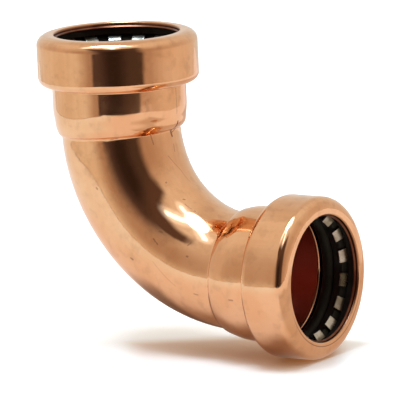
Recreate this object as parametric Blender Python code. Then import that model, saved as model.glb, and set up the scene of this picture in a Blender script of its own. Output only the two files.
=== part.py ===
# Push-fit elbow for a 22 mm pipe: a formed copper body and, in each end, the four rings
# that let the pipe in, grip it and seal on it.
# The origin is the centre of the lower mouth. +X points out of that mouth and +Z along the upper leg.

import math

import bmesh
import bpy
from mathutils import Matrix, Vector

MILLIMETRE = 0.001

# Driving sizes, in millimetres unless a note says otherwise
PIPE_DIAMETER = 22.0
PIPE_CLEARANCE = 0.1             # radial, between pipe and socket
BODY_WALL = 1.05

BEND_RADIUS = 26.0               # to the tube's centreline
SHOULDER_STRAIGHT = 2.95         # stretch of the shoulder before the bend begins
SHOULDER_STEP = 1.55             # radial, from the socket down to the bent tube
SHOULDER_NOSE_RADIUS = 0.9
SHOULDER_ROOT_RADIUS = 0.6
SHOULDER_SWEEP_TURN = 25.0       # degrees that the long sweep turns inwards
SHOULDER_NOSE_TURN = 60.0        # degrees at the steepest place
SOCKET_LENGTH = 4.3              # plain cylinder between the shoulder and the cap

CAP_FRONT_WIDTH = 2.2            # radial extent of the cap's front rounding
CAP_FRONT_DEPTH = 1.9            # axial extent of the same rounding
CAP_REAR_RADIUS = 2.0
CHAMBER_FRONT_RADIUS = 0.35
CHAMBER_EDGE_RADIUS = 0.4        # where the chamber's end wall turns into the socket
LIP_THICKNESS = 1.05
LIP_ROLL = 0.1                   # rounding from the front face into the hole
LIP_STEP_WIDTH = 0.22            # the hole's rear part stands in by this much
LIP_STEP_DEPTH = 0.5
LIP_STEP_ROUND = 0.15
LIP_FLAT_WIDTH = 0.3             # least width of the flat front face
MOUTH_CLEARANCE = 0.1            # radial, between pipe and lip

RING_GAP = 0.25                  # between neighbouring rings, and between rings and body
COLLAR_THICKNESS = 0.7
COLLAR_BORE_CLEARANCE = 0.4      # radial, to the pipe
GRAB_RING_THICKNESS = 0.3
GRAB_RING_BAND = 0.95            # radial width of the flat band
TOOTH_COUNT = 16
TOOTH_SHARE = 0.55               # share of the pitch that is tooth
TOOTH_BITE = 0.45                # radial, tips inside the pipe's surface
TOOTH_DROP = 1.15                # axial, from the band to the tips
TOOTH_BEND_RADIUS = 0.6
SEPARATOR_LENGTH = 2.4
SEPARATOR_BORE_CLEARANCE = 0.3   # radial, to the pipe
RING_CHAMFER = 0.2
O_RING_SECTION = 2.5
O_RING_BITE = 0.2                # radial, seal inside the pipe's surface

# How far each set of rings happened to turn when it was put in, in degrees
UPPER_RING_TURN = 13.6
LOWER_RING_TURN = 9.75

# Mesh fineness
BODY_SEGMENTS = 36
BEND_STEPS = 12
RING_SEGMENTS = 36
O_RING_STEPS = 10
SMOOTH_ANGLE = 30.0

# Radii, from the pipe outwards
pipe_radius = PIPE_DIAMETER / 2
mouth_radius = pipe_radius + MOUTH_CLEARANCE
lip_radius = mouth_radius + LIP_STEP_WIDTH
socket_bore = pipe_radius + PIPE_CLEARANCE
socket_radius = socket_bore + BODY_WALL
tube_radius = socket_radius - SHOULDER_STEP
tube_bore = tube_radius - BODY_WALL
ring_radius = pipe_radius - O_RING_BITE + O_RING_SECTION
chamber_radius = ring_radius + RING_GAP
cap_radius = chamber_radius + BODY_WALL

# Depths below the mouth's front face
collar_front = LIP_THICKNESS + RING_GAP
collar_back = collar_front + COLLAR_THICKNESS
band_middle = collar_back + RING_GAP + GRAB_RING_THICKNESS / 2
separator_front = band_middle + GRAB_RING_THICKNESS / 2 + RING_GAP
separator_back = separator_front + SEPARATOR_LENGTH
o_ring_middle = separator_back + RING_GAP + O_RING_SECTION / 2
chamber_depth = o_ring_middle + O_RING_SECTION / 2 + RING_GAP
cap_length = chamber_depth + BODY_WALL
shoulder_top = cap_length + SOCKET_LENGTH
leg_length = shoulder_top + SHOULDER_STRAIGHT
centre_to_face = BEND_RADIUS + leg_length

# The teeth lean from the band's inner edge to the tips
tooth_root = ring_radius - GRAB_RING_BAND
tooth_tip = pipe_radius - TOOTH_BITE
tooth_lean = math.atan2(TOOTH_DROP, tooth_root - tooth_tip)
cone_shift = (GRAB_RING_THICKNESS / 2 + RING_GAP) * math.tan(tooth_lean / 2)


def arc(centre, width, height, start, end, steps):
    """Points (depth, radius) on an elliptical arc, both ends included. Angles count from the radius."""
    points = []
    for step in range(steps + 1):
        angle = math.radians(start + (end - start) * step / steps)
        points.append((centre[0] + width * math.sin(angle), centre[1] + height * math.cos(angle)))
    return points


def shoulder_profile(top, large, small):
    """The sweep, nose and root that lead from the socket's radius down to the bent tube's."""
    sweep_cosine = math.cos(math.radians(SHOULDER_SWEEP_TURN))
    nose_cosine = math.cos(math.radians(SHOULDER_NOSE_TURN))
    nose_drop = SHOULDER_NOSE_RADIUS * (sweep_cosine - nose_cosine)
    root_drop = SHOULDER_ROOT_RADIUS * (1 - nose_cosine)
    sweep_radius = (large - small - nose_drop - root_drop) / (1 - sweep_cosine)
    points = arc((top, large - sweep_radius), sweep_radius, sweep_radius, 0, SHOULDER_SWEEP_TURN, 3)
    # Each bend goes on where the one before ends; a negative radius curves the other way
    for bend_radius, start, end in ((SHOULDER_NOSE_RADIUS, SHOULDER_SWEEP_TURN, SHOULDER_NOSE_TURN),
                                    (-SHOULDER_ROOT_RADIUS, SHOULDER_NOSE_TURN, 0)):
        depth, radius = points[-1]
        turn = math.radians(start)
        centre = (depth - bend_radius * math.sin(turn), radius - bend_radius * math.cos(turn))
        points += arc(centre, bend_radius, bend_radius, start, end, 2)[1:]
    return points


def outer_profile():
    """The body's outer skin from the step in the hole to the end of the shoulder, as (depth, radius)."""
    front_width = min(CAP_FRONT_WIDTH, cap_radius - lip_radius - LIP_ROLL - LIP_FLAT_WIDTH)
    rear_radius = min(CAP_REAR_RADIUS, cap_radius - socket_radius - LIP_FLAT_WIDTH)
    step = LIP_STEP_ROUND
    points = arc((LIP_STEP_DEPTH + step, mouth_radius + step), -step, -step, 0, 90, 2)
    points.append((LIP_STEP_DEPTH, lip_radius))
    points += arc((LIP_ROLL, lip_radius + LIP_ROLL), -LIP_ROLL, -LIP_ROLL, 0, 90, 2)
    points += arc((CAP_FRONT_DEPTH, cap_radius - front_width), CAP_FRONT_DEPTH, front_width, -90, 0, 5)
    points += arc((cap_length - rear_radius, cap_radius - rear_radius), rear_radius, rear_radius, 0, 90, 4)
    points.append((cap_length, socket_radius))
    return points + shoulder_profile(shoulder_top, socket_radius, tube_radius)


def inner_profile():
    """The body's inner skin from the lip's underside to the end of the shoulder, as (depth, radius)."""
    corner = CHAMBER_FRONT_RADIUS
    rear = max(CAP_REAR_RADIUS - BODY_WALL, corner)
    edge = CHAMBER_EDGE_RADIUS
    points = [(LIP_THICKNESS, mouth_radius)]
    points += arc((LIP_THICKNESS + corner, chamber_radius - corner), corner, corner, -90, 0, 1)
    points += arc((chamber_depth - rear, chamber_radius - rear), rear, rear, 0, 90, 3)
    points += arc((chamber_depth + edge, socket_bore + edge), -edge, -edge, 90, 0, 2)
    # The same wall on the slope needs the inner shoulder to begin nearer the mouth
    advance = BODY_WALL * math.tan(math.radians(SHOULDER_NOSE_TURN) / 2)
    return points + shoulder_profile(shoulder_top - advance, socket_bore, tube_bore)


def centreline(distance):
    """Point on the centreline, that far from the upper mouth, and the direction to the bend's inside."""
    quarter = BEND_RADIUS * math.pi / 2
    angle = min(max((distance - leg_length) / BEND_RADIUS, 0.0), math.pi / 2)
    inwards = Vector((math.cos(angle), 0, math.sin(angle)))
    point = Vector((-leg_length, 0, BEND_RADIUS)) - inwards * BEND_RADIUS
    if distance < leg_length:
        point.z += leg_length - distance
    if distance > leg_length + quarter:
        point.x += distance - leg_length - quarter
    return point, inwards


def whole_skin(profile):
    """Carries a leg's profile on round the bend and up to the other mouth."""
    length = 2 * leg_length + BEND_RADIUS * math.pi / 2
    start, radius = profile[-1]
    bend = [(start + (length - 2 * start) * step / BEND_STEPS, radius) for step in range(1, BEND_STEPS)]
    return profile + bend + [(length - depth, r) for depth, r in reversed(profile)]


def make_material(name, colour, roughness, metallic):
    material = bpy.data.materials.new(name)
    material.use_nodes = True
    shader = material.node_tree.nodes["Principled BSDF"]
    shader.inputs["Base Color"].default_value = (*colour, 1.0)
    shader.inputs["Roughness"].default_value = roughness
    shader.inputs["Metallic"].default_value = metallic
    material.diffuse_color = (*colour, 1.0)
    return material


def make_object(name, geometry, material):
    """Turns a bmesh in millimetres into an object in metres."""
    bmesh.ops.scale(geometry, vec=Vector((MILLIMETRE,) * 3), verts=geometry.verts)
    mesh = bpy.data.meshes.new(name)
    geometry.to_mesh(mesh)
    geometry.free()
    mesh.shade_smooth()
    mesh.set_sharp_from_angle(angle=math.radians(SMOOTH_ANGLE))
    mesh.materials.append(material)
    piece = bpy.data.objects.new(name, mesh)
    bpy.context.scene.collection.objects.link(piece)
    return piece


def make_body(material):
    """One formed tube: the outer skin from mouth to mouth and back along the inner skin."""
    stations = whole_skin(outer_profile()) + list(reversed(whole_skin(inner_profile())))
    geometry = bmesh.new()
    rings = []
    for distance, radius in stations:
        point, inwards = centreline(distance)
        ring = []
        for segment in range(BODY_SEGMENTS):
            angle = math.tau * segment / BODY_SEGMENTS
            place = point + radius * (math.cos(angle) * inwards + math.sin(angle) * Vector((0, 1, 0)))
            ring.append(geometry.verts.new(place))
        rings.append(ring)
    for ring, following in zip(rings, rings[1:] + rings[:1]):
        for segment in range(BODY_SEGMENTS):
            beside = (segment + 1) % BODY_SEGMENTS
            geometry.faces.new((ring[segment], ring[beside], following[beside], following[segment]))
    bmesh.ops.recalc_face_normals(geometry, faces=geometry.faces)
    return make_object("elbow_body", geometry, material)


def turned_ring(name, profile, material):
    """Spins a closed profile of (depth, radius) points about the mouth's axis."""
    geometry = bmesh.new()
    vertices = [geometry.verts.new((radius, 0, -depth)) for depth, radius in profile]
    edges = [geometry.edges.new(pair) for pair in zip(vertices, vertices[1:] + vertices[:1])]
    bmesh.ops.spin(geometry, geom=vertices + edges, cent=(0, 0, 0), axis=(0, 0, 1),
                   angle=math.tau, steps=RING_SEGMENTS, use_merge=True)
    bmesh.ops.remove_doubles(geometry, verts=geometry.verts, dist=MILLIMETRE)
    bmesh.ops.recalc_face_normals(geometry, faces=geometry.faces)
    return make_object(name, geometry, material)


def make_release_collar(name, material):
    """Flat against the lip in front, and a cone over the teeth behind."""
    bore = pipe_radius + COLLAR_BORE_CLEARANCE
    cone_start = tooth_root - cone_shift
    nose = collar_back + (cone_start - bore) * math.tan(tooth_lean)
    profile = [(collar_front, bore + RING_CHAMFER), (collar_front, ring_radius - RING_CHAMFER),
               (collar_front + RING_CHAMFER, ring_radius), (collar_back, ring_radius),
               (collar_back, cone_start), (nose, bore), (collar_front + RING_CHAMFER, bore)]
    return turned_ring(name, profile, material)


def make_separator(name, material):
    """A cone under the teeth in front, and flat against the seal behind."""
    bore = pipe_radius + SEPARATOR_BORE_CLEARANCE
    cone_start = tooth_root + cone_shift
    throat = separator_front + (cone_start - bore) * math.tan(tooth_lean)
    profile = [(separator_front, cone_start), (separator_front, ring_radius),
               (separator_back, ring_radius), (separator_back, bore + RING_CHAMFER),
               (separator_back - RING_CHAMFER, bore), (throat, bore)]
    return turned_ring(name, profile, material)


def make_o_ring(name, material):
    half = O_RING_SECTION / 2
    profile = arc((o_ring_middle, ring_radius - half), half, half, 0, 360, O_RING_STEPS)
    return turned_ring(name, profile[:-1], material)


def make_grab_ring(name, material):
    """A flat band with bent teeth, laid out as a sheet on its middle surface and then thickened."""
    bend_length = TOOTH_BEND_RADIUS * math.tan(tooth_lean / 2)
    bend = arc((band_middle + TOOTH_BEND_RADIUS, tooth_root + bend_length), -TOOTH_BEND_RADIUS,
               -TOOTH_BEND_RADIUS, 90, 90 - math.degrees(tooth_lean), 2)
    tooth_rows = bend + [(band_middle + TOOTH_DROP, tooth_tip)]
    pitch = math.tau / TOOTH_COUNT
    half_tooth = pitch * TOOTH_SHARE / 2

    geometry = bmesh.new()

    def row(depth, radius, angles):
        return [geometry.verts.new((radius * math.cos(a), radius * math.sin(a), -depth)) for a in angles]

    def join(upper, lower):
        for left, right, under_right, under_left in zip(upper, upper[1:], lower[1:], lower):
            geometry.faces.new((left, right, under_right, under_left))

    for tooth in range(TOOTH_COUNT):
        middle = pitch * tooth
        tooth_angles = [middle - half_tooth, middle, middle + half_tooth]
        band_angles = tooth_angles + [middle + pitch - half_tooth]
        edge = row(band_middle, ring_radius, band_angles)
        root = row(*tooth_rows[0], band_angles)
        join(edge, root)
        upper = root[:3]
        for depth, radius in tooth_rows[1:]:
            lower = row(depth, radius, tooth_angles)
            join(upper, lower)
            upper = lower
    bmesh.ops.remove_doubles(geometry, verts=geometry.verts, dist=MILLIMETRE)
    bmesh.ops.recalc_face_normals(geometry, faces=geometry.faces)
    piece = make_object(name, geometry, material)
    thickness = piece.modifiers.new("sheet thickness", "SOLIDIFY")
    thickness.thickness = GRAB_RING_THICKNESS * MILLIMETRE
    thickness.offset = 0
    thickness.use_even_offset = True
    return piece


def place(piece, end):
    """Puts a ring, made about +Z with the mouth's face at zero, into one end of the body."""
    if end == "upper":
        piece.location = Vector((-centre_to_face, 0, centre_to_face)) * MILLIMETRE
        piece.rotation_euler = (0, 0, math.radians(UPPER_RING_TURN))
    else:
        turn = Matrix.Rotation(math.pi / 2, 3, "Y") @ Matrix.Rotation(math.radians(LOWER_RING_TURN), 3, "Z")
        piece.rotation_euler = turn.to_euler()


for leftover in list(bpy.data.objects):
    bpy.data.objects.remove(leftover, do_unlink=True)

copper = make_material("polished copper", (0.78, 0.40, 0.24), 0.15, 1.0)
black_plastic = make_material("black plastic", (0.02, 0.02, 0.02), 0.4, 0.0)
black_rubber = make_material("black rubber", (0.015, 0.015, 0.015), 0.6, 0.0)
stainless = make_material("stainless steel", (0.62, 0.60, 0.56), 0.25, 1.0)

make_body(copper)
for end in ("upper", "lower"):
    place(make_release_collar(end + "_release_collar", black_plastic), end)
    place(make_grab_ring(end + "_grab_ring", stainless), end)
    place(make_separator(end + "_separator_ring", black_plastic), end)
    place(make_o_ring(end + "_o_ring", black_rubber), end)
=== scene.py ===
import math

import bmesh
import bpy
from mathutils import Matrix, Vector


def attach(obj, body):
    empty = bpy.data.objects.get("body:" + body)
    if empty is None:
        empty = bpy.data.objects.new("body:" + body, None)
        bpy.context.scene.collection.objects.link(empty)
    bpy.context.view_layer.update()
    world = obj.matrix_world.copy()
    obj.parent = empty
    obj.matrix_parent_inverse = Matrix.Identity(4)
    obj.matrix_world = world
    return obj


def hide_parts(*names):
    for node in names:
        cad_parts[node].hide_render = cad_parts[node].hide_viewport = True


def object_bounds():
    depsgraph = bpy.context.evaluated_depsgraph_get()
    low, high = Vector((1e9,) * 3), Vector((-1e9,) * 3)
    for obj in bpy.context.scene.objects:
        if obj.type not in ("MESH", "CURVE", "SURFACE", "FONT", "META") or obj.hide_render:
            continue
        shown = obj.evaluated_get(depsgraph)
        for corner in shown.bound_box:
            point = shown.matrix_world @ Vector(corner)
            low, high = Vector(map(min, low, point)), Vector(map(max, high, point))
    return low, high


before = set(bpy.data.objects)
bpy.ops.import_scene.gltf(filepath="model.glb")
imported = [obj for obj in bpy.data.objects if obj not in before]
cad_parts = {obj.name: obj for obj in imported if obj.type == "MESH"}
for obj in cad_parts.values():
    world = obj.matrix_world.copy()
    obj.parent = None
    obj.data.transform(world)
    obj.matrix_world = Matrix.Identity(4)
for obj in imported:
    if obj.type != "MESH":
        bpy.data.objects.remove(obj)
cadLow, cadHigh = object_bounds()
print("frame loaded")

mm = 0.001
scene = bpy.context.scene
scene.view_settings.view_transform = "Standard"

# Sizes that several pieces share, in millimetres. Depths count from the mouth's front face.
fitting = {
    "pipeRadius": 11.0,
    "wall": 1.05,
    "bendRadius": 26.0,
    "lipThickness": 1.05,
    "ringGap": 0.25,
    "collarThickness": 0.7,
    "sheetThickness": 0.3,
    "separatorLength": 2.4,
    "sealSection": 2.5,
    "bandWidth": 0.95,
    "toothBite": 0.45,
    "toothDrop": 1.15,
}
centreToFace = cadHigh.z / mm
capRadius = cadHigh.y / mm
legLength = centreToFace - fitting["bendRadius"]
tubeLength = 2 * legLength + fitting["bendRadius"] * math.pi / 2
chamberRadius = capRadius - fitting["wall"]
ringRadius = chamberRadius - fitting["ringGap"]
collarFront = fitting["lipThickness"] + fitting["ringGap"]
collarBack = collarFront + fitting["collarThickness"]
bandMiddle = collarBack + fitting["ringGap"] + fitting["sheetThickness"] / 2
separatorFront = bandMiddle + fitting["sheetThickness"] / 2 + fitting["ringGap"]
separatorBack = separatorFront + fitting["separatorLength"]
sealMiddle = separatorBack + fitting["ringGap"] + fitting["sealSection"] / 2
chamberDepth = sealMiddle + fitting["sealSection"] / 2 + fitting["ringGap"]
capLength = chamberDepth + fitting["wall"]
toothRoot = ringRadius - fitting["bandWidth"]
toothTip = fitting["pipeRadius"] - fitting["toothBite"]
toothLean = math.atan2(fitting["toothDrop"], toothRoot - toothTip)
coneShift = (fitting["sheetThickness"] / 2 + fitting["ringGap"]) * math.tan(toothLean / 2)

# Each end's place: a ring is made about +Z with the mouth's face at zero, then turned and put here. The upper
# rings have slid up against the lip.
ringPlace = {
    "upperTurn": 13.6,
    "upperSlide": 0.2,
    "lowerTurn": 9.75,
}
upperMouth = Matrix.Translation((-centreToFace * mm, 0, (centreToFace + ringPlace["upperSlide"]) * mm))
lowerMouth = Matrix.Rotation(math.pi / 2, 4, "Y")
ends = {
    "upper": upperMouth @ Matrix.Rotation(math.radians(ringPlace["upperTurn"]), 4, "Z"),
    "lower": lowerMouth @ Matrix.Rotation(math.radians(ringPlace["lowerTurn"]), 4, "Z"),
}
creaseAngle = math.radians(35)


def arcPoints(centre, width, height, start, end, steps):
    # (depth, radius) points on an elliptical arc, angles in degrees from the radial direction
    points = []
    for step in range(steps + 1):
        angle = math.radians(start + (end - start) * step / steps)
        points.append((centre[0] + width * math.sin(angle), centre[1] + height * math.cos(angle)))
    return points


def holdStraights(points, hold=0.04, longest=0.8, shortest=0.35):
    # Extra points near the ends of each straight stretch keep its shading flat up to the curves
    held = [points[0]]
    for start, end in zip(points, points[1:]):
        gap = math.dist(start, end)
        if gap > shortest:
            count = max(1, math.ceil(gap / longest))
            shares = [hold / gap] + [step / count for step in range(1, count)] + [1 - hold / gap]
            held += [tuple(a + (b - a) * share for a, b in zip(start, end)) for share in shares]
        held.append(end)
    return held


def ringPoint(depth, radius, angle):
    return radius * mm * math.cos(angle), radius * mm * math.sin(angle), -depth * mm


def metres(values):
    return tuple(value * mm for value in values)


def addObject(name, data):
    item = bpy.data.objects.new(name, data)
    scene.collection.objects.link(item)
    return item


def showMesh(name, mesh):
    mesh.shade_smooth()
    mesh.set_sharp_from_angle(angle=creaseAngle)
    return addObject(name, mesh)


def finishMesh(name, geometry):
    mesh = bpy.data.meshes.new(name)
    geometry.to_mesh(mesh)
    geometry.free()
    return showMesh(name, mesh)


def declare(piece, node):
    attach(piece, "root")
    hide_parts(node)


# Node helpers. A node given no tree goes into that of the sockets among its values.
def fill(node, values):
    for key, value in values.items():
        if isinstance(value, bpy.types.NodeSocket):
            node.id_data.links.new(value, node.inputs[key])
        else:
            node.inputs[key].default_value = value
    return node


def addNode(kind, values=None, tree=None, **settings):
    values = values or {}
    if tree is None:
        tree = next(value.id_data for value in values.values() if isinstance(value, bpy.types.NodeSocket))
    node = tree.nodes.new(kind)
    for key, value in settings.items():
        setattr(node, key, value)
    return fill(node, values)


def calc(operation, *values, clamp=False):
    return addNode("ShaderNodeMath", dict(enumerate(values)), operation=operation, use_clamp=clamp).outputs[0]


def folded(operation):
    def fold(first, *others):
        for other in others:
            first = calc(operation, first, other)
        return first
    return fold


plus = folded("ADD")
minus = folded("SUBTRACT")
times = folded("MULTIPLY")
largest = folded("MAXIMUM")
smallest = folded("MINIMUM")


def vectorCalc(operation, *values, scale=None):
    sockets = dict(enumerate(values))
    if scale is not None:
        sockets["Scale"] = scale
    node = addNode("ShaderNodeVectorMath", sockets, operation=operation)
    return node.outputs["Value" if operation in ("DISTANCE", "LENGTH", "DOT_PRODUCT") else "Vector"]


def joined(*values):
    return addNode("ShaderNodeCombineXYZ", dict(enumerate(values))).outputs[0]


def parted(vector):
    return addNode("ShaderNodeSeparateXYZ", {0: vector}).outputs


def ease(value, low, high, toLow=0.0, toHigh=1.0):
    # Smooth step from toLow to toHigh while the value goes from low to high
    values = {"Value": value, "From Min": low, "From Max": high, "To Min": toLow, "To Max": toHigh}
    return addNode("ShaderNodeMapRange", values, interpolation_type="SMOOTHSTEP").outputs["Result"]


def blend(factor, first, second, mode="MIX"):
    colours = [(*item, 1.0) if isinstance(item, tuple) else item for item in (first, second)]
    values = {0: factor, 6: colours[0], 7: colours[1]}
    return addNode("ShaderNodeMix", values, data_type="RGBA", blend_type=mode).outputs[2]


def noise(vector, scale, detail=3.0, roughness=0.6):
    values = {"Vector": vector, "Scale": scale, "Detail": detail, "Roughness": roughness}
    return addNode("ShaderNodeTexNoise", values).outputs["Fac"]


def bump(height, strength, depth, normal=None):
    values = {"Height": height, "Strength": strength, "Distance": depth * mm}
    if normal is not None:
        values["Normal"] = normal
    return addNode("ShaderNodeBump", values).outputs[0]


def newGroup(name, inputs, outputs, kind="ShaderNodeTree"):
    # A socket is given by its kind, or as a number by its default
    group = bpy.data.node_groups.new(name, kind)
    for direction, sockets in (("INPUT", inputs), ("OUTPUT", outputs)):
        for key, value in sockets.items():
            isNumber = isinstance(value, float)
            socketKind = "NodeSocket" + ("Float" if isNumber else value)
            socket = group.interface.new_socket(key, in_out=direction, socket_type=socketKind)
            if isNumber:
                socket.default_value = value
    return group, group.nodes.new("NodeGroupInput").outputs, group.nodes.new("NodeGroupOutput")


# Body: one formed tube. Distances along it count from the upper mouth.
bodyForm = {
    "mouthClearance": 0.1,
    "pipeClearance": 0.1,
    "shoulderStep": 1.55,
    "shoulderStraight": 3.3,
    "sweepTurn": 23.0,
    "noseTurn": 60.0,
    "noseRadius": 0.9,
    "rootRadius": 0.6,
    "frontWidth": 2.2,
    "frontDepth": 1.9,
    "rearRadius": 1.5,
    "lipRollWidth": 0.35,
    "lipRollDepth": 0.55,
    "lipStepWidth": 0.22,
    "lipStepDepth": 0.66,
    "lipEdgeRadius": 0.12,
    "chamberFrontRadius": 0.35,
    "chamberEdgeRadius": 0.4,
    "cornerRadius": 0.25,
    "neckSwell": 0.2,
    "neckStart": (15.0, 17.0),
    "neckEnd": (20.0, 36.0),
    "chamberDullness": 0.4,
    "segments": 160,
    "bendSteps": 64,
    "sweepSteps": 18,
    "frontSteps": 18,
    "rearSteps": 14,
    "rollSteps": 10,
    "filletSteps": 8,
    "lipEdgeSteps": 5,
    "cornerSteps": 4,
}
mouthRadius = fitting["pipeRadius"] + bodyForm["mouthClearance"]
lipRadius = mouthRadius + bodyForm["lipStepWidth"]
socketBore = fitting["pipeRadius"] + bodyForm["pipeClearance"]
socketRadius = socketBore + fitting["wall"]
tubeRadius = socketRadius - bodyForm["shoulderStep"]
shoulderTop = legLength - bodyForm["shoulderStraight"]


def shoulderPoints(top, large, small):
    form = bodyForm
    sweepTurn, noseTurn = form["sweepTurn"], form["noseTurn"]
    sweepCos = math.cos(math.radians(sweepTurn))
    noseCos = math.cos(math.radians(noseTurn))
    noseDrop = form["noseRadius"] * (sweepCos - noseCos)
    rootDrop = form["rootRadius"] * (1 - noseCos)
    sweepRadius = (large - small - noseDrop - rootDrop) / (1 - sweepCos)
    points = arcPoints((top, large - sweepRadius), sweepRadius, sweepRadius, 0, sweepTurn, form["sweepSteps"])
    for radius, start, end in ((form["noseRadius"], sweepTurn, noseTurn), (-form["rootRadius"], noseTurn, 0)):
        depth, height = points[-1]
        turn = math.radians(start)
        centre = (depth - radius * math.sin(turn), height - radius * math.cos(turn))
        points += arcPoints(centre, radius, radius, start, end, form["filletSteps"])[1:]
    return points


def bodyOutline():
    # Outer skin, then inner skin, from the mouth to the end of the shoulder
    form = bodyForm
    rear, corner, cornerSteps = form["rearRadius"], form["cornerRadius"], form["cornerSteps"]
    rollDepth, rollWidth = form["lipRollDepth"], form["lipRollWidth"]
    depth, width = form["frontDepth"], form["frontWidth"]
    outer = [(form["lipStepDepth"] + form["lipStepWidth"], mouthRadius), (form["lipStepDepth"], lipRadius)]
    outer += arcPoints((rollDepth, lipRadius + rollWidth), -rollDepth, -rollWidth, 0, 90, form["rollSteps"])
    outer += arcPoints((depth, capRadius - width), depth, width, -90, 0, form["frontSteps"])
    outer += arcPoints((capLength - rear, capRadius - rear), rear, rear, 0, 90, form["rearSteps"])
    outer += arcPoints((capLength + corner, socketRadius + corner), -corner, -corner, 90, 0, cornerSteps)
    outer += shoulderPoints(shoulderTop, socketRadius, tubeRadius)
    lip, lipEdge, lipSteps = fitting["lipThickness"], form["lipEdgeRadius"], form["lipEdgeSteps"]
    front, edge = form["chamberFrontRadius"], form["chamberEdgeRadius"]
    rear -= fitting["wall"]
    inner = arcPoints((lip - lipEdge, mouthRadius + lipEdge), lipEdge, -lipEdge, 0, 90, lipSteps)
    inner += arcPoints((lip + front, chamberRadius - front), front, front, -90, 0, cornerSteps)
    inner += arcPoints((chamberDepth - rear, chamberRadius - rear), rear, rear, 0, 90, form["filletSteps"])
    inner += arcPoints((chamberDepth + edge, socketBore + edge), -edge, -edge, 90, 0, form["filletSteps"])
    advance = fitting["wall"] * math.tan(math.radians(form["noseTurn"]) / 2)
    inner += shoulderPoints(shoulderTop - advance, socketBore, tubeRadius - fitting["wall"])
    # The lip's own wall belongs to the outer skin
    wall = [outer[0], *inner[:lipSteps + 1]]
    return holdStraights(list(reversed(wall)) + outer[1:]), holdStraights(inner[lipSteps:])[1:]


def centreline(distance):
    # Point that far from the upper mouth, and the direction to the bend's inside
    bend = fitting["bendRadius"]
    angle = min(max((distance - legLength) / bend, 0.0), math.pi / 2)
    inwards = Vector((math.cos(angle), 0, math.sin(angle)))
    point = Vector((-legLength, 0, bend)) - inwards * bend
    point.z += max(legLength - distance, 0)
    point.x += max(distance - legLength - bend * math.pi / 2, 0)
    return point, inwards


def smoothStep(value, low, high):
    share = min(max((value - low) / (high - low), 0.0), 1.0)
    return share * share * (3 - 2 * share)


def neckWidening(distance):
    # Below the upper shoulder the tube has kept a trace of its expanding
    rise = smoothStep(distance, *bodyForm["neckStart"])
    return bodyForm["neckSwell"] * rise * (1 - smoothStep(distance, *bodyForm["neckEnd"]))


def wholeSkin(outline):
    start, radius = outline[-1]
    steps = bodyForm["bendSteps"]
    bend = [(start + (tubeLength - 2 * start) * step / steps, radius) for step in range(1, steps)]
    return outline + bend + [(tubeLength - depth, r) for depth, r in reversed(outline)]


def makeBody():
    outer, inner = (wholeSkin(outline) for outline in bodyOutline())
    lip, segments = fitting["lipThickness"], bodyForm["segments"]
    boreStart = chamberDepth + bodyForm["chamberEdgeRadius"]
    # Each station: distance, radius, how dull and dark it is as the bore's wall, how much it is darkened as
    # the lip's wall
    stations = []
    for distance, radius in outer:
        # The lip's own wall is darkened, and less so over the roll in front of it
        lipDarkening = 1.0 - min(max((radius - lipRadius) / bodyForm["lipRollWidth"], 0.0), 1.0)
        stations.append((distance, radius, 0.0, 0.0 if lip < distance < tubeLength - lip else lipDarkening))
    for distance, radius in reversed(inner):
        inBore = boreStart < distance < tubeLength - boreStart
        stations.append((distance, radius, 1.0 if inBore else bodyForm["chamberDullness"], 0.0))
    geometry = bmesh.new()
    uvLayer = geometry.loops.layers.uv.new("alongTube")
    insideLayer = geometry.verts.layers.float.new("inside")
    lipDarkeningLayer = geometry.verts.layers.float.new("lipDarkening")
    rings = []
    for distance, radius, inside, lipDarkening in stations:
        point, inwards = centreline(distance)
        radius += neckWidening(distance)
        ring = []
        for segment in range(segments):
            angle = math.tau * segment / segments
            spoke = math.cos(angle) * inwards + math.sin(angle) * Vector((0, 1, 0))
            vertex = geometry.verts.new((point + radius * spoke) * mm)
            vertex[insideLayer] = inside
            vertex[lipDarkeningLayer] = lipDarkening
            ring.append(vertex)
        rings.append(ring)
    along = [station[0] / tubeLength for station in stations]
    for index, ring in enumerate(rings):
        follow = (index + 1) % len(rings)
        beyond = rings[follow]
        for segment in range(segments):
            beside = (segment + 1) % segments
            face = geometry.faces.new((ring[segment], ring[beside], beyond[beside], beyond[segment]))
            places = ((segment, index), (segment + 1, index), (segment + 1, follow), (segment, follow))
            for loop, (column, row) in zip(face.loops, places):
                loop[uvLayer].uv = (column / segments, along[row])
    bmesh.ops.recalc_face_normals(geometry, faces=geometry.faces)
    return finishMesh("elbowBody", geometry)


body = makeBody()
declare(body, "elbow_body")
print("body made")


# Turned rings
ringForm = {
    "collarBoreClearance": 0.7,
    "collarNose": 0.53,
    "separatorBoreClearance": 0.3,
    "edgeRound": 0.12,
    "edgeShare": 0.4,
    "edgeSteps": 4,
    "segments": 128,
    "sealSteps": 28,
}


def roundedOutline(corners):
    # Each (depth, radius) corner of a closed outline gets a small fillet
    points = []
    for index, corner in enumerate(corners):
        here = Vector(corner)
        before = Vector(corners[index - 1]) - here
        after = Vector(corners[(index + 1) % len(corners)]) - here
        reach = min(ringForm["edgeRound"], *(side.length * ringForm["edgeShare"] for side in (before, after)))
        first, last = here + before.normalized() * reach, here + after.normalized() * reach
        for step in range(ringForm["edgeSteps"] + 1):
            share = step / ringForm["edgeSteps"]
            points.append(tuple((1 - share) ** 2 * first + 2 * share * (1 - share) * here + share ** 2 * last))
    return holdStraights(points + points[:1])[:-1]


def turnedRing(name, points, end):
    geometry = bmesh.new()
    rings = []
    for segment in range(ringForm["segments"]):
        angle = math.tau * segment / ringForm["segments"]
        rings.append([geometry.verts.new(ringPoint(*point, angle)) for point in points])
    for ring, following in zip(rings, rings[1:] + rings[:1]):
        for index in range(len(points)):
            after = (index + 1) % len(points)
            geometry.faces.new((ring[index], ring[after], following[after], following[index]))
    bmesh.ops.recalc_face_normals(geometry, faces=geometry.faces)
    geometry.transform(ends[end])
    return finishMesh(name, geometry)


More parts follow.
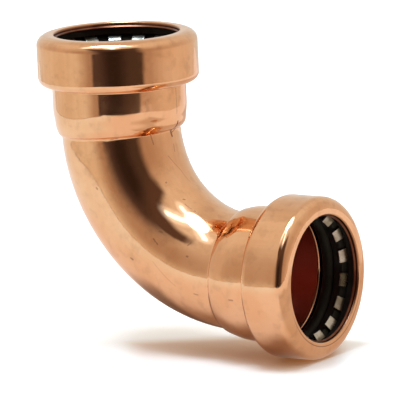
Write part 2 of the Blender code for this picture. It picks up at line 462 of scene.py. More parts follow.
def makeCollar(end):
    bore = fitting["pipeRadius"] + ringForm["collarBoreClearance"]
    coneStart = toothRoot - coneShift
    nose = collarBack + ringForm["collarNose"]
    corners = [(collarFront, bore), (collarFront, ringRadius), (collarBack, ringRadius),
               (collarBack, coneStart), (nose, bore)]
    return turnedRing(end + "ReleaseCollar", roundedOutline(corners), end)


def makeSeparator(end):
    bore = fitting["pipeRadius"] + ringForm["separatorBoreClearance"]
    coneStart = toothRoot + coneShift
    throat = separatorFront + (coneStart - bore) * math.tan(toothLean)
    corners = [(separatorFront, coneStart), (separatorFront, ringRadius), (separatorBack, ringRadius),
               (separatorBack, bore), (throat, bore)]
    return turnedRing(end + "SeparatorRing", roundedOutline(corners), end)


def makeSeal(end):
    half = fitting["sealSection"] / 2
    circle = arcPoints((sealMiddle, ringRadius - half), half, half, 0, 360, ringForm["sealSteps"])
    return turnedRing(end + "Seal", circle[:-1], end)


# Grab ring: one tooth is bent up from sheet, and a node tree repeats it round the ring
grabForm = {
    "toothCount": 16,
    "toothShare": 0.55,
    "bendRadius": 0.6,
    "bendSteps": 5,
    "bladeRows": (0.35, 0.7, 1.0),
    "slotRound": 0.35,
    "toothColumns": 8,
    "gapColumns": 5,
    "weldDistance": 0.002,
    "edgeBevel": 0.05,
    "bevelSegments": 2,
    "bevelAngle": 50,
}


def toothSheet():
    # One pitch of the ring on its middle surface: rows run from the band's rim to the tooth's tip
    pitch = math.tau / grabForm["toothCount"]
    half = pitch * grabForm["toothShare"] / 2
    bendRadius = grabForm["bendRadius"]
    bendLength = bendRadius * math.tan(toothLean / 2)
    bend = arcPoints((bandMiddle + bendRadius, toothRoot + bendLength), -bendRadius, -bendRadius,
                     90, 90 - math.degrees(toothLean), grabForm["bendSteps"])
    rows = [(bandMiddle, ringRadius), (bandMiddle, (ringRadius + toothRoot + bendLength) / 2)] + bend
    slotRow = 2
    lastDepth, lastRadius = bend[-1]
    for share in grabForm["bladeRows"]:
        rows.append((lastDepth + (bandMiddle + fitting["toothDrop"] - lastDepth) * share,
                     lastRadius + (toothTip - lastRadius) * share))
    geometry = bmesh.new()
    rootLayer = geometry.verts.layers.float.new("root")
    columns, gaps = grabForm["toothColumns"], grabForm["gapColumns"]
    toothAngles = [-half + 2 * half * step / columns for step in range(columns + 1)]
    gapAngles = [half + (pitch - 2 * half) * step / gaps for step in range(1, gaps + 1)]
    previous = None
    for index, (depth, radius) in enumerate(rows):
        row = []
        for angle in toothAngles + (gapAngles if index <= slotRow else []):
            reach = radius
            if index == slotRow and angle > half:
                # The slot between two teeth ends in a round root
                across = abs((angle - half) / (pitch / 2 - half) - 1)
                reach += grabForm["slotRound"] * math.sqrt(max(1 - across ** 2, 0.0))
            vertex = geometry.verts.new(ringPoint(depth, reach, angle))
            vertex[rootLayer] = (radius - toothTip) / (toothRoot - toothTip)
            row.append(vertex)
        if previous:
            for a, b, c, d in zip(previous, previous[1:], row[1:], row):
                geometry.faces.new((a, b, c, d))
        previous = row
    bmesh.ops.recalc_face_normals(geometry, faces=geometry.faces)
    return finishMesh("toothSheet", geometry)


def ringTree():
    # Repeats the sheet it is given round the ring's axis and joins the copies into one band
    inputs = {"Geometry": "Geometry", "Tooth Count": "Int", "Weld Distance": "Float", "Material": "Material"}
    tree, given, result = newGroup("repeatRoundRing", inputs, {"Geometry": "Geometry"}, "GeometryNodeTree")
    tooth = addNode("GeometryNodeGeometryToInstance", {"Geometry": given["Geometry"]}).outputs["Instances"]
    copies = {"Geometry": tooth, "Amount": given["Tooth Count"]}
    copies = addNode("GeometryNodeDuplicateElements", copies, domain="INSTANCE").outputs
    turn = times(copies["Duplicate Index"], calc("DIVIDE", math.tau, given["Tooth Count"]))
    turned = {"Instances": copies["Geometry"], "Rotation": joined(0.0, 0.0, turn)}
    band = addNode("GeometryNodeRotateInstances", turned).outputs["Instances"]
    for kind, values in (("GeometryNodeRealizeInstances", {}),
                         ("GeometryNodeMergeByDistance", {"Distance": given["Weld Distance"]}),
                         ("GeometryNodeSetMaterial", {"Material": given["Material"]})):
        band = addNode(kind, {"Geometry": band, **values}).outputs["Geometry"]
    fill(result, {"Geometry": band})
    return tree


def makeGrabRing(end, tree, steel):
    seed = toothSheet()
    repeat = seed.modifiers.new("repeat", "NODES")
    repeat.node_group = tree
    values = {"Tooth Count": grabForm["toothCount"], "Weld Distance": grabForm["weldDistance"] * mm,
              "Material": steel}
    for item in tree.interface.items_tree:
        if item.in_out == "INPUT" and item.name in values:
            repeat[item.identifier] = values[item.name]
    thicken = seed.modifiers.new("sheet", "SOLIDIFY")
    thicken.thickness = fitting["sheetThickness"] * mm
    thicken.offset = 0
    thicken.use_even_offset = True
    soften = seed.modifiers.new("edges", "BEVEL")
    soften.width = grabForm["edgeBevel"] * mm
    soften.segments = grabForm["bevelSegments"]
    soften.limit_method = "ANGLE"
    soften.angle_limit = math.radians(grabForm["bevelAngle"])
    mesh = bpy.data.meshes.new_from_object(seed.evaluated_get(bpy.context.evaluated_depsgraph_get()))
    bpy.data.objects.remove(seed, do_unlink=True)
    mesh.name = end + "GrabRing"
    mesh.transform(ends[end])
    return showMesh(mesh.name, mesh)


# Patterns that several finishes share
def specksGroup():
    # Sparse small pits: a cell pattern in which only some cells hold a dot
    inputs = {"Vector": "Vector", "Scale": 300.0, "Size": 0.1, "Share": 0.2}
    group, given, result = newGroup("specks", inputs, {"Mask": "Float"})
    wobbleScale, wobbleReach, leastSize, dotEdge = 900.0, 0.0009, 0.3, 0.55
    wobble = addNode("ShaderNodeTexNoise", {"Vector": given["Vector"], "Scale": wobbleScale, "Detail": 1.0})
    moved = vectorCalc("ADD", given["Vector"], vectorCalc("SCALE", wobble.outputs["Color"], scale=wobbleReach))
    cells = addNode("ShaderNodeTexVoronoi", {"Vector": moved, "Scale": given["Scale"]}).outputs
    lot = addNode("ShaderNodeSeparateColor", {0: cells["Color"]}).outputs
    chosen = calc("LESS_THAN", lot[0], given["Share"])
    radius = times(given["Size"], plus(lot[1], leastSize))
    dot = ease(calc("DIVIDE", cells["Distance"], radius), dotEdge, 1.0, 1.0, 0.0)
    fill(result, {"Mask": times(dot, chosen)})
    return group


def tubeGroup():
    # The body's own places from its UV map: degrees round the tube with millimetres along it, and the same
    # wound up again so that a texture runs straight along the tube without a seam
    outputs = {"Place": "Vector", "Straightened": "Vector"}
    group, given, result = newGroup("tubePlace", {"Unrolled": "Vector", "Length": 1.0}, outputs)
    parts = parted(given["Unrolled"])
    turn = calc("WRAP", times(parts[0], 360.0), 180.0, -180.0)
    along = times(parts[1], given["Length"])
    angle = times(parts[0], math.tau)
    across = [times(calc(way, angle), tubeRadius) for way in ("COSINE", "SINE")]
    fill(result, {"Place": joined(turn, along), "Straightened": joined(*across, along)})
    return group


def hairlinesGroup():
    # Fine drawn lines: level curves of a noise stretched along Z, kept only where a second noise is high
    inputs = {"Vector": "Vector", "Scale": 1.0, "Stretch": 0.02, "Share": 0.5}
    group, given, result = newGroup("hairlines", inputs, {"Mask": "Float"})
    lineWidth, patchScale, keptEdges = 0.01, 0.3, (1.05, 1.2)
    drawn = vectorCalc("MULTIPLY", given["Vector"], joined(1.0, 1.0, given["Stretch"]))
    middle = calc("ABSOLUTE", minus(noise(drawn, given["Scale"]), 0.5))
    line = ease(middle, 0.0, lineWidth, 1.0, 0.0)
    patches = noise(given["Vector"], times(given["Scale"], patchScale), 1.0, 0.5)
    kept = ease(plus(patches, given["Share"]), *keptEdges)
    fill(result, {"Mask": times(line, kept)})
    return group


def markGroup():
    # One nick or scratch on the body, from a start to an end in degrees and millimetres, with a wavering edge
    inputs = {"Place": "Vector", "Start": "Vector", "End": "Vector", "Width": 0.15}
    group, given, result = newGroup("mark", inputs, {"Mask": "Float"})
    flat = (tubeRadius * math.pi / 180, 1.0, 0.0)
    waverScale, waverReach, softEdge = 2.2, 0.3, 0.35
    place, start, end = (vectorCalc("MULTIPLY", given[name], flat) for name in ("Place", "Start", "End"))
    along = vectorCalc("SUBTRACT", end, start)
    rough = addNode("ShaderNodeTexNoise", {"Vector": given["Place"], "Scale": waverScale, "Detail": 2.0})
    waver = vectorCalc("SUBTRACT", rough.outputs["Color"], (0.5, 0.5, 0.5))
    waver = vectorCalc("SCALE", waver, scale=waverReach)
    offset = vectorCalc("SUBTRACT", vectorCalc("ADD", place, waver), start)
    reach = largest(vectorCalc("DOT_PRODUCT", along, along), 0.0001)
    share = calc("DIVIDE", vectorCalc("DOT_PRODUCT", offset, along), reach, clamp=True)
    gap = vectorCalc("DISTANCE", offset, vectorCalc("SCALE", along, scale=share))
    fill(result, {"Mask": ease(calc("DIVIDE", gap, given["Width"]), softEdge, 1.0, 1.0, 0.0)})
    return group


specks = specksGroup()
tubePlace = tubeGroup()
hairlines = hairlinesGroup()
mark = markGroup()


def useGroup(group, **values):
    values = {name.capitalize(): value for name, value in values.items()}
    return addNode("ShaderNodeGroup", values, node_tree=group).outputs


def newMaterial(name):
    material = bpy.data.materials.new(name)
    material.use_nodes = True
    shader = material.node_tree.nodes["Principled BSDF"]
    return material, shader, addNode("ShaderNodeTexCoord", tree=material.node_tree).outputs["Object"]


def attribute(shader, name):
    return addNode("ShaderNodeAttribute", tree=shader.id_data, attribute_name=name).outputs["Fac"]


# Copper: polished outside, with the marks of drawing and handling, and dull and dark red inside the bore
copperFinish = {
    "bright": (0.84, 0.489, 0.264),
    "warm": (0.8, 0.44, 0.222),
    "pit": (0.2, 0.085, 0.045),
    "bore": (0.6, 0.235, 0.165),
    "lipWall": (0.13, 0.035, 0.018),
    "lipEdges": (0.3, 1.0),
    "lipCover": (1.0, 0.88),
    "lipCoverEdges": (0.25, 0.6),
    "cloudScale": 150.0,
    "cloudEdges": (0.35, 0.65),
    "stainScale": 420.0,
    "stainEdges": (0.5, 0.75),
    "stainDarkness": 0.16,
    "pitScale": 240.0,
    "pitSize": 0.09,
    "pitShare": 0.12,
    "pitDarkness": 0.5,
    "lineScale": 0.9,
    "lineStretch": 0.02,
    "lineShare": 0.48,
    "lineDarkness": 0.1,
    "grooveRadius": 12.1,
    "grooveWidth": 0.14,
    "grooveDarkness": 0.8,
    "grooveHeights": (-8.0, -3.0),
    "roughness": 0.065,
    "roughnessSpread": (-0.02, 0.03),
    "scuffRoughness": 0.2,
    "lipRoughness": 0.25,
    "boreRoughness": 0.4,
    "waveScale": 240.0,
    "waveHeight": 0.025,
    "rippleTurn": -38.0,
    "rippleDistance": 56.5,
    "rippleSpread": (0.05, 0.3, 0.0),
    "rippleScale": 1300.0,
    "rippleEdges": (0.5, 1.2),
    "rippleShare": 0.8,
    "grainScale": 1800.0,
    "grainShare": 0.15,
    "lineScuff": 0.3,
    "scuffDepth": 0.03,
    "scuffStrength": 0.15,
}

# Each mark: start and end (degrees from the bend's inside, millimetres from the upper mouth), width, darkness
copperMarks = {
    "dentLongArm": ((-0.5, 18.7), (4.2, 16.0), 0.28, 1.0),
    "dentSideArm": ((0.5, 19.0), (9.0, 18.1), 0.18, 0.75),
    "dentFoot": ((-0.5, 18.7), (0.9, 20.2), 0.28, 0.95),
    "nickUnderShoulder": ((-26.7, 18.4), (-25.0, 21.2), 0.17, 0.5),
    "nickBesideDent": ((0.6, 22.6), (-0.4, 24.9), 0.15, 0.4),
    "lineUpper": ((-11.5, 25.6), (-2.7, 30.9), 0.13, 0.35),
    "lineLower": ((-2.7, 30.9), (0.3, 35.6), 0.12, 0.3),
    "lineOnSocket": ((0.9, 9.8), (1.6, 14.4), 0.11, 0.55),
    "lineByHighlight": ((-26.3, 41.0), (-25.6, 45.8), 0.15, 0.45),
    "speckLeft": ((-93.6, 26.8), (-93.2, 27.0), 0.24, 0.45),
    "speckFarRight": ((17.8, 28.0), (17.8, 28.2), 0.16, 0.35),
    "speckMiddle": ((-27.2, 32.6), (-27.0, 32.8), 0.26, 0.5),
    "speckAboveHighlight": ((-23.6, 39.5), (-22.5, 39.9), 0.2, 0.6),
    "speckLow": ((-107.8, 39.8), (-107.2, 40.2), 0.27, 0.6),
    "nickMiddle": ((-73.8, 41.6), (-75.4, 43.0), 0.17, 0.55),
    "speckInner": ((-71.1, 50.0), (-71.1, 50.3), 0.24, 0.5),
    "speckOuter": ((-105.3, 52.9), (-105.3, 53.6), 0.2, 0.45),
    "speckOnSocket": ((-102.1, 60.9), (-102.1, 61.6), 0.19, 0.55),
    "nickByTail": ((-61.1, 49.2), (-57.2, 49.7), 0.12, 0.6),
    "smearByTail": ((-64.3, 41.6), (-63.5, 42.3), 0.24, 0.3),
    "chipAtRoot": ((-66.5, 18.3), (-59.5, 18.1), 0.13, 0.6),
    "faintLine": ((-92.9, 43.8), (-104.5, 49.3), 0.11, 0.25),
}


def markMask(place):
    masks = []
    for start, finish, width, darkness in copperMarks.values():
        one = useGroup(mark, place=place, start=(*start, 0), end=(*finish, 0), width=width)[0]
        masks.append(times(one, darkness))
    return largest(*masks)


def makeCopper():
    look = copperFinish
    material, shader, place = newMaterial("polishedCopper")
    inside = attribute(shader, "inside")
    unrolled = addNode("ShaderNodeUVMap", tree=shader.id_data, uv_map="alongTube").outputs[0]
    onTube = useGroup(tubePlace, unrolled=unrolled, length=tubeLength)
    clouds = noise(place, look["cloudScale"])
    stains = noise(place, look["stainScale"], 2.0, 0.55)
    pits = useGroup(specks, vector=place, scale=look["pitScale"], size=look["pitSize"],
                    share=look["pitShare"])[0]
    lines = useGroup(hairlines, vector=onTube["Straightened"], scale=look["lineScale"],
                     stretch=look["lineStretch"], share=look["lineShare"])[0]
    marks = markMask(onTube["Place"])
    # A fine dark ring where a groove is turned into the lower mouth's face, drawn only on its lowest part
    x, y, z = parted(place)
    reach = calc("SQRT", plus(calc("POWER", y, 2), calc("POWER", z, 2)))
    groove = calc("ABSOLUTE", minus(reach, look["grooveRadius"] * mm))
    groove = ease(groove, 0.0, look["grooveWidth"] * mm, 1.0, 0.0)
    lowestPart = ease(z, *metres(look["grooveHeights"]), look["grooveDarkness"], 0.0)
    groove = times(groove, lowestPart, calc("GREATER_THAN", x, -mm))
    marks = largest(marks, groove)
    scratched = largest(times(pits, look["pitDarkness"]), marks)
    colour = blend(ease(clouds, *look["cloudEdges"]), look["bright"], look["warm"])
    stained = ease(stains, *look["stainEdges"], 0.0, look["stainDarkness"])
    for mask in (stained, times(lines, look["lineDarkness"]), scratched):
        colour = blend(mask, colour, look["pit"])
    colour = blend(inside, colour, look["bore"])
    # The lip's wall, inside the mouth, is darker and rougher in patches
    lipDarkening = attribute(shader, "lipDarkening")
    covered = times(ease(lipDarkening, *look["lipEdges"]), ease(stains, *look["lipCoverEdges"], *look["lipCover"]))
    colour = blend(covered, colour, look["lipWall"])
    scuffs = plus(pits, times(lines, look["lineScuff"]), marks)
    rough = ease(clouds, 0.3, 0.7, *(look["roughness"] + spread for spread in look["roughnessSpread"]))
    rough = plus(rough, times(scuffs, look["scuffRoughness"]),
                 times(inside, look["boreRoughness"] - look["roughness"]), times(lipDarkening, look["lipRoughness"]))
    # Slow waves of the drawn tube, with tighter ripples where the bend's inside meets the lower shoulder
    centre = vectorCalc("SUBTRACT", onTube["Place"], (look["rippleTurn"], look["rippleDistance"], 0))
    nearBend = vectorCalc("LENGTH", vectorCalc("MULTIPLY", centre, look["rippleSpread"]))
    ripples = ease(nearBend, *look["rippleEdges"], look["rippleShare"], 0.0)
    ripples = times(noise(place, look["rippleScale"], 1.0, 0.5), ripples)
    waves = bump(plus(noise(place, look["waveScale"], 2.0, 0.5), ripples), 1.0, look["waveHeight"])
    fine = times(noise(place, look["grainScale"], 2.0), look["grainShare"])
    fill(shader, {
        "Base Color": colour,
        "Metallic": 1.0,
        "Roughness": rough,
        "Normal": bump(minus(fine, scuffs), look["scuffStrength"], look["scuffDepth"], waves),
    })
    return material


# Collars, separators and seals: near black with a soft sheen, dust and rubbed spots
blackFinish = {
    "plastic": (0.011, 0.0105, 0.0095),
    "plasticWorn": (0.043, 0.0415, 0.0385),
    "plasticRoughness": 0.42,
    "plasticGrain": 1500.0,
    "rubber": (0.008, 0.008, 0.007),
    "rubberWorn": (0.034, 0.034, 0.031),
    "rubberRoughness": 0.5,
    "rubberGrain": 900.0,
    "dustScale": 900.0,
    "dustSize": 0.16,
    "dustShare": 0.25,
    "rubScale": 260.0,
    "rubEdges": (0.4, 0.7),
    "rubRoughness": 0.14,
    "paling": 0.3,
    "shine": 0.3,
    "shineTint": (1.0, 0.82, 0.55),
    "grainStrength": 0.2,
    "grainHeight": 0.03,
}


def makeBlack(name, kind):
    look = blackFinish
    material, shader, place = newMaterial(name)
    dust = useGroup(specks, vector=place, scale=look["dustScale"], size=look["dustSize"],
                    share=look["dustShare"])[0]
    rub = ease(noise(place, look["rubScale"], 3.0, 0.65), *look["rubEdges"])
    fill(shader, {
        "Base Color": blend(times(plus(dust, rub), look["paling"]), look[kind], look[kind + "Worn"]),
        "Metallic": 0.0,
        "Roughness": plus(look[kind + "Roughness"], times(rub, look["rubRoughness"])),
        "Specular IOR Level": look["shine"],
        "Specular Tint": (*look["shineTint"], 1.0),
        "Normal": bump(noise(place, look[kind + "Grain"]), look["grainStrength"], look["grainHeight"]),
    })
    return material


# Grab rings: bright stamped sheet, yellowish with tarnish. Darker teeth are given by place and share of
# darkening.
steelFinish = {
    "clean": (0.61, 0.575, 0.48),
    "tarnished": (0.37, 0.325, 0.225),
    "rootWaver": 0.3,
    "smearScale": 420.0,
    "smearEdges": (0.35, 0.65),
    "lineScale": 2500.0,
    "lineStretch": 0.1,
    "lineShare": 0.6,
    "darkTooth": (0.1, 0.085, 0.045),
    "rootShadeEdges": (0.36, 0.62),
    "rootShadeShare": 0.8,
    "darkTeeth": (((-3.0, 11.02, -2.49), 0.92), ((-3.0, 9.23, -6.52), 0.5), ((-44.88, 10.5, 39.5), 0.45)),
    "darkTeethReach": (1.6, 2.4),
    "roughness": 0.24,
    "smearRoughness": 0.08,
    "smearStrength": 0.15,
    "smearHeight": 0.02,
}


def makeStainless():
    look = steelFinish
    material, shader, place = newMaterial("stainless")
    smear = noise(place, look["smearScale"])
    lines = useGroup(hairlines, vector=place, scale=look["lineScale"], stretch=look["lineStretch"],
                     share=look["lineShare"])[0]
    tone = blend(ease(smear, *look["smearEdges"]), look["clean"], look["tarnished"])
    # Painted shade darkens each tooth's root, as in the collar's shadow; three teeth are also darkened all
    # over
    root = plus(attribute(shader, "root"), times(minus(smear, 0.5), look["rootWaver"]))
    toothDarkening = times(ease(root, *look["rootShadeEdges"]), look["rootShadeShare"])
    for spot, share in look["darkTeeth"]:
        away = vectorCalc("DISTANCE", place, metres(spot))
        toothDarkening = largest(toothDarkening, ease(away, *metres(look["darkTeethReach"]), share, 0.0))
    fill(shader, {
        "Base Color": blend(toothDarkening, tone, look["darkTooth"]),
        "Metallic": 1.0,
        "Roughness": plus(look["roughness"], times(plus(smear, lines), look["smearRoughness"])),
        "Normal": bump(minus(smear, lines), look["smearStrength"], look["smearHeight"]),
    })
    return material


copper = makeCopper()
blackPlastic = makeBlack("blackPlastic", "plastic")
blackRubber = makeBlack("blackRubber", "rubber")
stainless = makeStainless()
body.data.materials.append(copper)
print("materials made")

repeatTeeth = ringTree()
for end in ends:
    for make, node, material, slot in ((makeCollar, "_release_collar", blackPlastic, "black_plastic"),
                                       (makeSeparator, "_separator_ring", blackPlastic, "black_plastic"),
                                       (makeSeal, "_o_ring", blackRubber, "black_rubber")):
        ring = make(end)
        ring.data.materials.append(material)
        declare(ring, end + node)
    declare(makeGrabRing(end, repeatTeeth, stainless), end + "_grab_ring")
print("rings made")


# Camera at the photograph's viewing angle. It aims beside a point on the bend, in millimetres across and up.
view = {
    "azimuth": 33.5,
    "elevation": 10.385,
    "roll": -2.49,
    "distance": 1000.0,
    "focalPixels": 5578.0,
    "frameWidth": 400,
    "sensorWidth": 36,
    "clip": (0.01, 20),
    "bendPoint": 20.0,
    "aimX": -2.642,
    "aimY": -7.084,
}


def makeCamera():
    azimuth, elevation, roll = (math.radians(view[name]) for name in ("azimuth", "elevation", "roll"))
    back = Vector((math.sin(azimuth) * math.cos(elevation), -math.cos(azimuth) * math.cos(elevation),
                   math.sin(elevation)))
    right = Vector((math.cos(azimuth), math.sin(azimuth), 0))
    up = back.cross(right)
    right, up = right * math.cos(roll) + up * math.sin(roll), up * math.cos(roll) - right * math.sin(roll)
    bendPoint = Vector((view["bendPoint"] - centreToFace, 0, view["bendPoint"]))
    aim = bendPoint + right * view["aimX"] + up * view["aimY"]
    data = bpy.data.cameras.new("camera")
    data.sensor_width = view["sensorWidth"]
    data.lens = data.sensor_width * view["focalPixels"] / view["frameWidth"]
    data.clip_start, data.clip_end = view["clip"]
    camera = addObject("camera", data)
    turned = Matrix((right, up, back)).transposed().to_4x4()
    camera.matrix_world = Matrix.Translation((aim + back * view["distance"]) * mm) @ turned
    scene.camera = camera


makeCamera()

# Floor: white paper that keeps the shadow; what mirrors in the copper ends at the sheet's edge. Millimetres to
# the camera's right (x) and away from it (y), from the centre.
floorForm = {
    "reach": 4000.0,
    "level": -capRadius,
    "centre": (-20.0, 0.0, 0.0),
    "colour": (0.9, 0.84, 0.73),
    "grain": (0.985, 0.985, 0.985),
    "grainScale": 900.0,
    "mirrored": (0.79, 0.66, 0.575),
    "mirroredLeft": (0.79, 0.76, 0.7),
    "mirroredLeftX": (-100.0, -30.0),
    "sheetLeft": -168.0,
    "leftSlant": 0.15,
    "sheetRight": 205.0,
    "sheetFront": 210.0,
    "sheetBack": 300.0,
    "sheetCorner": 360.0,
    "hem": (0.3, 0.22, 0.18),
    "hemWidth": 9.0,
    "hemShade": 0.95,
    "glow": (0.62, 0.505, 0.44),
    "glowShare": 0.88,
    "glowFromX": (5.0, 18.0),
    "glowToX": (86.0, 100.0),
    "glowFromY": (-100.0, -60.0),
    "under": (0.1, 0.05, 0.03),
    "underShare": 0.6,
    "underFromX": (-35.0, -22.0),
    "underToX": (0.0, 10.0),
    "underFromY": (1.0, 8.0),
    "underToY": (20.0, 40.0),
    "lift": (0.07, 0.02, 0.0),
    "liftRound": (0.28, 0.33, 0.35),
    "liftRightX": (16.5, 21.5),
    "liftLeftX": (-22.0, -15.5),
    "liftLeftShare": 0.8,
    "liftBackY": (7.0, 15.0),
}
black = (0.0, 0.0, 0.0)


def alignedDirection(vector):
    # Turns a vector so that x runs to the camera's right and -y towards the camera
    values = {"Vector": vector, "Angle": -math.radians(view["azimuth"])}
    return parted(addNode("ShaderNodeVectorRotate", values, rotation_type="Z_AXIS").outputs[0])


def sheetInset(x, y):
    # How far a point lies inside the sheet's nearest edge, and the mask of the left edge's darker hem
    left, right, front, back, corner = (floorForm["sheet" + edge] * mm for edge in (
        "Left", "Right", "Front", "Back", "Corner"))
    left = minus(plus(x, times(y, floorForm["leftSlant"])), left)
    hem = ease(left, 0.0, floorForm["hemWidth"] * mm, floorForm["hemShade"], 0.0)
    return smallest(left, minus(right, x), plus(y, front), minus(back, y), minus(corner, minus(x, y))), hem


def makeFloor():
    form = floorForm
    mesh = bpy.data.meshes.new("floor")
    half, level = form["reach"] / 2 * mm, form["level"] * mm
    corners = ((-half, -half, level), (half, -half, level), (half, half, level), (-half, half, level))
    mesh.from_pydata(corners, [], [(0, 1, 2, 3)])
    material, shader, place = newMaterial("whitePaper")
    tree = shader.id_data
    tree.nodes.remove(shader)
    x, y = alignedDirection(vectorCalc("SUBTRACT", place, metres(form["centre"])))[:2]

    def zone(axis, name, toLow=0.0, toHigh=1.0):
        return ease(axis, *metres(form[name]), toLow, toHigh)

    inset, hem = sheetInset(x, y)
    ray = addNode("ShaderNodeLightPath", tree=tree).outputs
    mirrored = blend(zone(x, "mirroredLeftX"), form["mirroredLeft"], form["mirrored"])
    mirrored = blend(hem, mirrored, form["hem"])
    # Behind the lower mouth the sheet glows evenly, as it does in the mouth's face
    glowing = times(zone(x, "glowFromX"), zone(x, "glowToX", 1.0, 0.0), zone(y, "glowFromY"))
    mirrored = blend(times(glowing, form["glowShare"]), mirrored, black)
    # Painted shadow: under the bend the sheet is darker still as seen in reflections, and draws a line along
    # the bend's underside
    under = times(zone(x, "underFromX"), zone(x, "underToX", 1.0, 0.0), zone(y, "underFromY"),
                  zone(y, "underToY", form["underShare"], 0.0))
    mirrored = blend(under, mirrored, form["under"])
    paper = blend(ray["Is Glossy Ray"], form["colour"], mirrored)
    paper = blend(noise(place, form["grainScale"], 2.0, 0.5), paper, form["grain"], "MULTIPLY")
    diffuse = addNode("ShaderNodeBsdfDiffuse", {"Color": paper}).outputs[0]
    # Painted light: a glow seen by the camera makes the shadow fade sooner at its ends and behind the fitting
    around = largest(zone(x, "liftRightX"), zone(x, "liftLeftX", form["liftLeftShare"], 0.0),
                     zone(y, "liftBackY"))
    lift = blend(around, form["lift"], form["liftRound"])
    lift = blend(ray["Is Glossy Ray"], lift, blend(glowing, black, form["glow"]))
    strength = largest(ray["Is Camera Ray"], ray["Is Glossy Ray"])
    lift = addNode("ShaderNodeEmission", {"Color": lift, "Strength": strength})
    lifted = addNode("ShaderNodeAddShader", {0: diffuse, 1: lift.outputs[0]}).outputs[0]
    clear = addNode("ShaderNodeBsdfTransparent", tree=tree).outputs[0]
    gone = times(ray["Is Glossy Ray"], calc("LESS_THAN", inset, 0.0))
    seen = addNode("ShaderNodeMixShader", {0: gone, 1: lifted, 2: clear}).outputs[0]
    fill(tree.nodes["Material Output"], {"Surface": seen})
    mesh.materials.append(material)
    addObject("floor", mesh)


makeFloor()


# Studio: a pale tent with faint folds, lit from above, with a dark opening on the camera's side. Turns are
# azimuths, from 0 towards the camera to the right, and Heights are elevations, both in degrees.
tent = {
    "nearLeft": (0.52, 0.385, 0.305),
    "nearRight": (0.56, 0.41, 0.33),
    "nearTurns": (-10.0, 10.0),
    "sides": (0.75, 0.63, 0.56),
    "sideTurns": (40.0, 96.0),
    "back": (0.83, 0.83, 0.8),
    "backTurns": (105.0, 158.0),
    "ceiling": (0.95, 0.9, 0.86),
    "ceilingHeights": (12.0, 62.0),
    "ceilingBack": (0.78, 0.71, 0.665),
    "ceilingBackTurns": (115.0, 165.0),
    "footHeights": (-12.0, 6.0),
    "footLeft": (0.9, 0.85, 0.78),
    "footLeftTurns": (-64.0, -40.0),
    "footRight": (0.87, 0.75, 0.66),
    "footRightTurns": (44.0, 84.0),
    "footRightEndTurns": (115.0, 155.0),
    "fold": (0.2, 0.12, 0.09),
    "foldShare": 0.08,
    "foldScale": 9.0,
    "foldEdges": (0.35, 0.65),
    "foldStretch": (1.0, 1.0, 0.12),
    "opening": (0.036, 0.022, 0.018),
    "openingLeft": (0.1, 0.066, 0.06),
    "openingLeftTurns": (-32.0, -9.0),
    "openingRight": (0.085, 0.055, 0.045),
    "openingRightTurns": (-3.0, 20.0),
    "openingUpper": (0.12, 0.075, 0.06),
    "openingUpperHeights": (18.0, 42.0),
    "openingTopHeights": (47.0, 58.0),
    "leftEdge": (-34.3, -41.5),
    "leftEdgeHeights": (8.0, 34.0),
    "leftEdgeDip": -2.5,
    "leftEdgeDipHeights": (-9.0, -4.0),
    "leftSoftness": (2.5, 13.0),
    "rightEdge": (37.5, 34.0),
    "rightEdgeHeights": (-10.0, -2.0),
    "rightEdgeRise": 4.5,
    "rightEdgeRiseHeights": (28.0, 40.0),
    "rightSoftness": (4.0, 9.5),
    "softHeights": (-10.0, -1.0),
    "tailHeights": (32.0, 38.0),
    "tailTip": -56.0,
    "tailFade": 9.0,
    "tailRise": 0.5,
    "lampColour": (0.8, 1.04, 1.38),
    "lampCentre": (-7.5, 2.5),
    "lampHalfWidth": 12.5,
    "lampHalfDepth": 10.5,
    "lampRim": (0.75, 1.25),
    "lampStrength": 17.0,
    "arms": (((-5.0, 34.5), 5.5), ((-31.0, 9.0), 4.5), ((10.5, 11.0), 5.0)),
    "armStrength": 2.4,
    "armRim": (0.3, 1.05),
    "armHalo": 0.5,
    "haloReach": 2.2,
}


def wallsMask(azimuth, elevation):
    # 1 inside the dark opening and its horn under the ceiling on the left, 0 on the walls
    edge = ease(elevation, *tent["leftEdgeHeights"], *tent["leftEdge"])
    edge = plus(edge, ease(elevation, *tent["leftEdgeDipHeights"], tent["leftEdgeDip"], 0.0))
    soft = ease(elevation, *tent["softHeights"], *tent["leftSoftness"])
    inLeft = ease(calc("DIVIDE", minus(azimuth, edge), soft), -1.0, 1.0)
    edge = ease(elevation, *tent["rightEdgeHeights"], *tent["rightEdge"])
    edge = plus(edge, ease(elevation, *tent["rightEdgeRiseHeights"], 0.0, tent["rightEdgeRise"]))
    soft = ease(elevation, *tent["softHeights"], *tent["rightSoftness"])
    inRight = ease(calc("DIVIDE", minus(edge, azimuth), soft), -1.0, 1.0)
    below = ease(elevation, *tent["openingTopHeights"], 1.0, 0.0)
    lower = times(minus(tent["leftEdge"][1], azimuth), tent["tailRise"])
    tail = ease(minus(elevation, lower), *tent["tailHeights"])
    fade = ease(azimuth, tent["tailTip"] - tent["tailFade"], tent["tailTip"] + tent["tailFade"])
    tail = times(tail, fade, calc("LESS_THAN", azimuth, 0.0))
    return times(below, largest(tail, times(inLeft, inRight)))


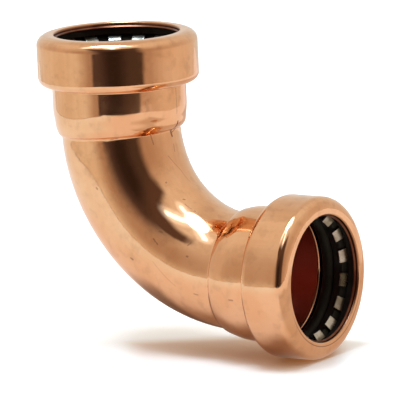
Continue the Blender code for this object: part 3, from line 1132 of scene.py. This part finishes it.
def lampGlow(azimuth, elevation):
    # The lamp is laid out on the sky as seen from below: degrees from straight up, camera side positive
    spread = minus(90.0, elevation)
    angle = calc("RADIANS", azimuth)
    across = times(spread, calc("SINE", angle))
    nearer = times(spread, calc("COSINE", angle))
    offset = vectorCalc("SUBTRACT", joined(across, nearer), (*tent["lampCentre"], 0.0))
    shrink = (1 / tent["lampHalfWidth"], 1 / tent["lampHalfDepth"], 0.0)
    core = vectorCalc("LENGTH", vectorCalc("MULTIPLY", offset, shrink))
    glow = times(ease(core, *tent["lampRim"], 1.0, 0.0), tent["lampStrength"])
    for tip, width in tent["arms"]:
        # Distance from the segment between the lamp's centre and the arm's tip
        along = Vector(tip) - Vector(tent["lampCentre"])
        share = vectorCalc("DOT_PRODUCT", offset, (*(along / along.length_squared), 0.0))
        share = largest(smallest(share, 1.0), 0.0)
        foot = vectorCalc("SCALE", (*along, 0.0), scale=share)
        gap = vectorCalc("DISTANCE", offset, foot)
        inner, outer = (width * rim for rim in tent["armRim"])
        arm = times(ease(gap, inner, outer, 1.0, 0.0), tent["armStrength"])
        halo = times(ease(gap, width, width * tent["haloReach"], 1.0, 0.0), tent["armHalo"])
        glow = largest(glow, arm, halo)
    return vectorCalc("SCALE", tent["lampColour"], scale=glow)


def makeStudio():
    world = bpy.data.worlds.new("studio")
    scene.world = world
    world.use_nodes = True
    tree = world.node_tree
    background = tree.nodes["Background"]
    direction = addNode("ShaderNodeTexCoord", tree=tree).outputs["Generated"]
    x, y, z = alignedDirection(direction)
    azimuth = calc("DEGREES", calc("ARCTAN2", x, times(y, -1.0)))
    elevation = calc("DEGREES", calc("ARCSINE", z))
    away = calc("ABSOLUTE", azimuth)
    near = blend(ease(azimuth, *tent["nearTurns"]), tent["nearLeft"], tent["nearRight"])
    walls = blend(ease(away, *tent["sideTurns"]), near, tent["sides"])
    walls = blend(ease(away, *tent["backTurns"]), walls, tent["back"])
    low = ease(elevation, *tent["footHeights"], 1.0, 0.0)
    foot = times(low, ease(azimuth, *tent["footLeftTurns"], 1.0, 0.0))
    walls = blend(foot, walls, tent["footLeft"])
    foot = times(low, ease(azimuth, *tent["footRightTurns"]),
                 ease(azimuth, *tent["footRightEndTurns"], 1.0, 0.0))
    walls = blend(foot, walls, tent["footRight"])
    ceiling = blend(ease(away, *tent["ceilingBackTurns"]), tent["ceiling"], tent["ceilingBack"])
    walls = blend(ease(elevation, *tent["ceilingHeights"]), walls, ceiling)
    upright = vectorCalc("MULTIPLY", direction, tent["foldStretch"])
    fold = ease(noise(upright, tent["foldScale"]), *tent["foldEdges"], 0.0, tent["foldShare"])
    walls = blend(fold, walls, tent["fold"])
    dark = blend(ease(azimuth, *tent["openingLeftTurns"]), tent["openingLeft"], tent["opening"])
    dark = blend(ease(azimuth, *tent["openingRightTurns"]), dark, tent["openingRight"])
    dark = blend(ease(elevation, *tent["openingUpperHeights"]), dark, tent["openingUpper"])
    walls = blend(wallsMask(azimuth, elevation), walls, dark)
    sky = vectorCalc("ADD", walls, lampGlow(azimuth, elevation))
    ray = addNode("ShaderNodeLightPath", tree=tree).outputs
    fill(background, {"Color": blend(ray["Is Camera Ray"], sky, (1, 1, 1))})


makeStudio()
print("stage made")
